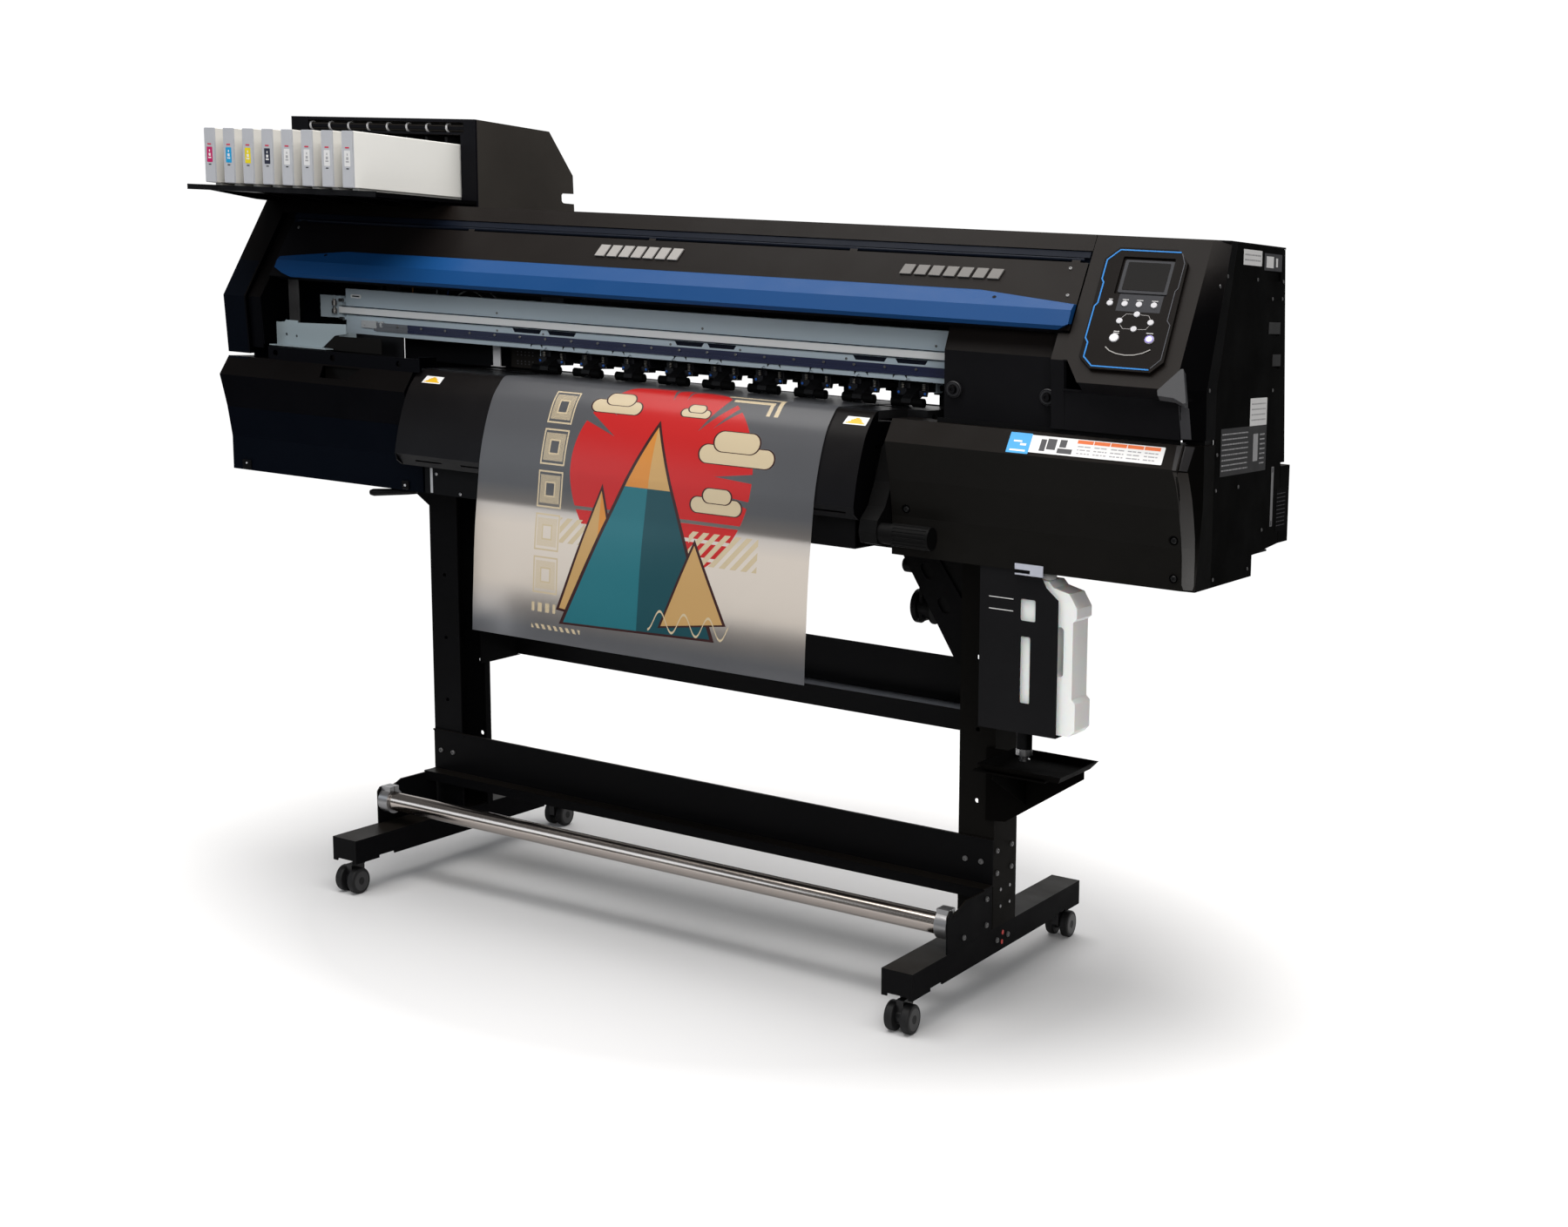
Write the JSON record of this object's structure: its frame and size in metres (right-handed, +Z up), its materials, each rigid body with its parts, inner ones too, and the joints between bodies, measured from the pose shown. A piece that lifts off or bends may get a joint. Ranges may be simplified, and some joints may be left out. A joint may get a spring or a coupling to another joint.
{
  "type": "wide format film printer",
  "caption": "Wide-format inkjet film printer on a wheeled stand, with an ink cartridge unit on top, hinged front cover, media clamp lever and printed film hanging over a curved apron.",
  "frame": {"origin": "on the floor under the middle of the bounding box", "axes": "+Z up, front faces -Y, +X to the right as seen from the front"},
  "size_m": [1.964, 0.71, 1.458],
  "materials": {
    "black_sheet": "satin black powder coat with a very fine grain",
    "dark_sheet": "satin black paint on folded sheet",
    "blue_panel": "satin blue paint",
    "rail_paint": "satin light blue-grey paint",
    "platen_black": "black anodised",
    "polished_tube": "drawn and polished",
    "zinc_clamp": "cast zinc, dull",
    "black_plastic": "moulded, fine grain",
    "grip_rubber": "ribbed soft grip",
    "roller_rubber": "ground rubber",
    "film": "frosted transfer film with a printed picture",
    "milky_plastic": "translucent moulded",
    "cartridge_plastic": "off-white moulded",
    "panel_plastic": "satin dark grey",
    "button_plastic": "light grey satin",
    "caster_plastic": "black nylon",
    "caster_tread": "hard black tread",
    "tray_plastic": "black moulded"
  },
  "bodies": {
    "frame": {"left_foot": "dark_sheet", "right_foot": "dark_sheet", "left_post": "dark_sheet", "right_post": "dark_sheet", "lower_crossbar": "dark_sheet", "rear_crossbeam": "dark_sheet", "stand_brackets": "dark_sheet", "guide_tube": "polished_tube", "tube_clamps": "zinc_clamp", "base_frame": "dark_sheet", "rail_beam": "rail_paint", "platen": "platen_black", "apron": "black_sheet", "media_film": "film", "top_cover": "black_sheet", "left_end_cover": "black_sheet", "right_housing": "black_sheet", "right_side_panel": "black_sheet", "rear_box": "black_sheet", "lower_left_cover": "black_sheet", "lower_right_cover": "black_sheet", "ink_housing": "black_sheet", "ink_shelf": "black_sheet", "panel_bezel": "panel_plastic", "bottle_bracket": "dark_sheet", "drip_tray": "tray_plastic"},
    "cover": {"front_cover": "black_sheet", "blue_band": "blue_panel"},
    "carriage": {"carriage": "black_plastic"},
    "lever": {"clamp_lever": "grip_rubber"},
    "lift_bar": {"pinch_arms": "black_plastic"},
    "pinch": {"pinch_rollers": "roller_rubber"},
    "feed": {"feed_roller": "roller_rubber"},
    "bottle": {"waste_bottle": "milky_plastic"},
    "cartridge_1": {"cartridge_1": "cartridge_plastic"},
    "cartridge_2": {"cartridge_2": "cartridge_plastic"},
    "cartridge_3": {"cartridge_3": "cartridge_plastic"},
    "cartridge_4": {"cartridge_4": "cartridge_plastic"},
    "cartridge_5": {"cartridge_5": "cartridge_plastic"},
    "cartridge_6": {"cartridge_6": "cartridge_plastic"},
    "cartridge_7": {"cartridge_7": "cartridge_plastic"},
    "cartridge_8": {"cartridge_8": "cartridge_plastic"},
    "button_1": {"button_1": "button_plastic"},
    "button_2": {"button_2": "button_plastic"},
    "button_3": {"button_3": "button_plastic"},
    "button_4": {"button_4": "button_plastic"},
    "button_5": {"button_5": "button_plastic"},
    "button_6": {"button_6": "button_plastic"},
    "button_7": {"button_7": "button_plastic"},
    "button_8": {"button_8": "button_plastic"},
    "button_9": {"button_9": "button_plastic"},
    "button_10": {"button_10": "button_plastic"},
    "fork_front_left": {"fork_front_left": "caster_plastic"},
    "wheels_front_left": {"wheels_front_left": "caster_tread"},
    "fork_front_right": {"fork_front_right": "caster_plastic"},
    "wheels_front_right": {"wheels_front_right": "caster_tread"},
    "fork_rear_left": {"fork_rear_left": "caster_plastic"},
    "wheels_rear_left": {"wheels_rear_left": "caster_tread"},
    "fork_rear_right": {"fork_rear_right": "caster_plastic"},
    "wheels_rear_right": {"wheels_rear_right": "caster_tread"}
  },
  "joints": [
    {"name": "cover_hinge", "type": "hinge", "parent": "frame", "child": "cover", "pos_m": [0, -0.118, 1.252], "axis": [-1, 0, 0], "range_deg": [0, 40]},
    {"name": "carriage_slide", "type": "slide", "parent": "frame", "child": "carriage", "axis": [1, 0, 0], "range_m": [-1.36, 0]},
    {"name": "lever_hinge", "type": "hinge", "parent": "frame", "child": "lever", "pos_m": [0.45, -0.112, 0.958], "axis": [-1, 0, 0], "range_deg": [0, 35]},
    {"name": "lift_hinge", "type": "hinge", "parent": "frame", "child": "lift_bar", "pos_m": [0, 0.01, 1.026], "axis": [-1, 0, 0], "range_deg": [0, 4.2]},
    {"name": "feed_spin", "type": "hinge", "parent": "frame", "child": "feed", "pos_m": [0, -0.062, 0.98], "axis": [1, 0, 0], "continuous": true},
    {"name": "pinch_spin", "type": "hinge", "parent": "lift_bar", "child": "pinch", "pos_m": [0, -0.062, 1.002], "axis": [1, 0, 0], "continuous": true},
    {"name": "button_1_press", "type": "slide", "parent": "frame", "child": "button_1", "axis": [0, 0.824, -0.5665], "range_m": [0, 0.001], "stiffness_N_per_m": 400, "springref_m": -0.0008},
    {"name": "button_2_press", "type": "slide", "parent": "frame", "child": "button_2", "axis": [0, 0.824, -0.5665], "range_m": [0, 0.001], "stiffness_N_per_m": 400, "springref_m": -0.0008},
    {"name": "button_3_press", "type": "slide", "parent": "frame", "child": "button_3", "axis": [0, 0.824, -0.5665], "range_m": [0, 0.001], "stiffness_N_per_m": 400, "springref_m": -0.0008},
    {"name": "button_4_press", "type": "slide", "parent": "frame", "child": "button_4", "axis": [0, 0.824, -0.5665], "range_m": [0, 0.001], "stiffness_N_per_m": 400, "springref_m": -0.0008},
    {"name": "button_5_press", "type": "slide", "parent": "frame", "child": "button_5", "axis": [0, 0.824, -0.5665], "range_m": [0, 0.001], "stiffness_N_per_m": 400, "springref_m": -0.0008},
    {"name": "button_6_press", "type": "slide", "parent": "frame", "child": "button_6", "axis": [0, 0.824, -0.5665], "range_m": [0, 0.001], "stiffness_N_per_m": 400, "springref_m": -0.0008},
    {"name": "button_7_press", "type": "slide", "parent": "frame", "child": "button_7", "axis": [0, 0.824, -0.5665], "range_m": [0, 0.001], "stiffness_N_per_m": 400, "springref_m": -0.0008},
    {"name": "button_8_press", "type": "slide", "parent": "frame", "child": "button_8", "axis": [0, 0.824, -0.5665], "range_m": [0, 0.001], "stiffness_N_per_m": 400, "springref_m": -0.0008},
    {"name": "button_9_press", "type": "slide", "parent": "frame", "child": "button_9", "axis": [0, 0.824, -0.5665], "range_m": [0, 0.001], "stiffness_N_per_m": 400, "springref_m": -0.0008},
    {"name": "button_10_press", "type": "slide", "parent": "frame", "child": "button_10", "axis": [0, 0.824, -0.5665], "range_m": [0, 0.001], "stiffness_N_per_m": 400, "springref_m": -0.0008},
    {"name": "cartridge_1_pull", "type": "slide", "parent": "frame", "child": "cartridge_1", "axis": [0, -1, 0], "range_m": [0, 0.3]},
    {"name": "cartridge_2_pull", "type": "slide", "parent": "frame", "child": "cartridge_2", "axis": [0, -1, 0], "range_m": [0, 0.3]},
    {"name": "cartridge_3_pull", "type": "slide", "parent": "frame", "child": "cartridge_3", "axis": [0, -1, 0], "range_m": [0, 0.3]},
    {"name": "cartridge_4_pull", "type": "slide", "parent": "frame", "child": "cartridge_4", "axis": [0, -1, 0], "range_m": [0, 0.3]},
    {"name": "cartridge_5_pull", "type": "slide", "parent": "frame", "child": "cartridge_5", "axis": [0, -1, 0], "range_m": [0, 0.3]},
    {"name": "cartridge_6_pull", "type": "slide", "parent": "frame", "child": "cartridge_6", "axis": [0, -1, 0], "range_m": [0, 0.3]},
    {"name": "cartridge_7_pull", "type": "slide", "parent": "frame", "child": "cartridge_7", "axis": [0, -1, 0], "range_m": [0, 0.3]},
    {"name": "cartridge_8_pull", "type": "slide", "parent": "frame", "child": "cartridge_8", "axis": [0, -1, 0], "range_m": [0, 0.3]},
    {"name": "bottle_pull", "type": "slide", "parent": "frame", "child": "bottle", "axis": [1, 0, 0], "range_m": [0, 0.2]},
    {"name": "fork_front_left_swivel", "type": "hinge", "parent": "frame", "child": "fork_front_left", "pos_m": [-0.609, -0.312, 0.06], "axis": [0, 0, 1], "continuous": true},
    {"name": "wheels_front_left_spin", "type": "hinge", "parent": "fork_front_left", "child": "wheels_front_left", "pos_m": [-0.609, -0.33, 0.025], "axis": [1, 0, 0], "continuous": true},
    {"name": "fork_front_right_swivel", "type": "hinge", "parent": "frame", "child": "fork_front_right", "pos_m": [0.554, -0.312, 0.06], "axis": [0, 0, 1], "continuous": true},
    {"name": "wheels_front_right_spin", "type": "hinge", "parent": "fork_front_right", "child": "wheels_front_right", "pos_m": [0.554, -0.33, 0.025], "axis": [1, 0, 0], "continuous": true},
    {"name": "fork_rear_left_swivel", "type": "hinge", "parent": "frame", "child": "fork_rear_left", "pos_m": [-0.609, 0.312, 0.06], "axis": [0, 0, 1], "continuous": true},
    {"name": "wheels_rear_left_spin", "type": "hinge", "parent": "fork_rear_left", "child": "wheels_rear_left", "pos_m": [-0.609, 0.33, 0.025], "axis": [1, 0, 0], "continuous": true},
    {"name": "fork_rear_right_swivel", "type": "hinge", "parent": "frame", "child": "fork_rear_right", "pos_m": [0.554, 0.312, 0.06], "axis": [0, 0, 1], "continuous": true},
    {"name": "wheels_rear_right_spin", "type": "hinge", "parent": "fork_rear_right", "child": "wheels_rear_right", "pos_m": [0.554, 0.33, 0.025], "axis": [1, 0, 0], "continuous": true}
  ],
  "couplings": [
    {"joint": "lift_hinge", "follows": "lever_hinge", "ratio": 0.12},
    {"joint": "pinch_spin", "follows": "feed_spin", "ratio": -1.5}
  ]
}
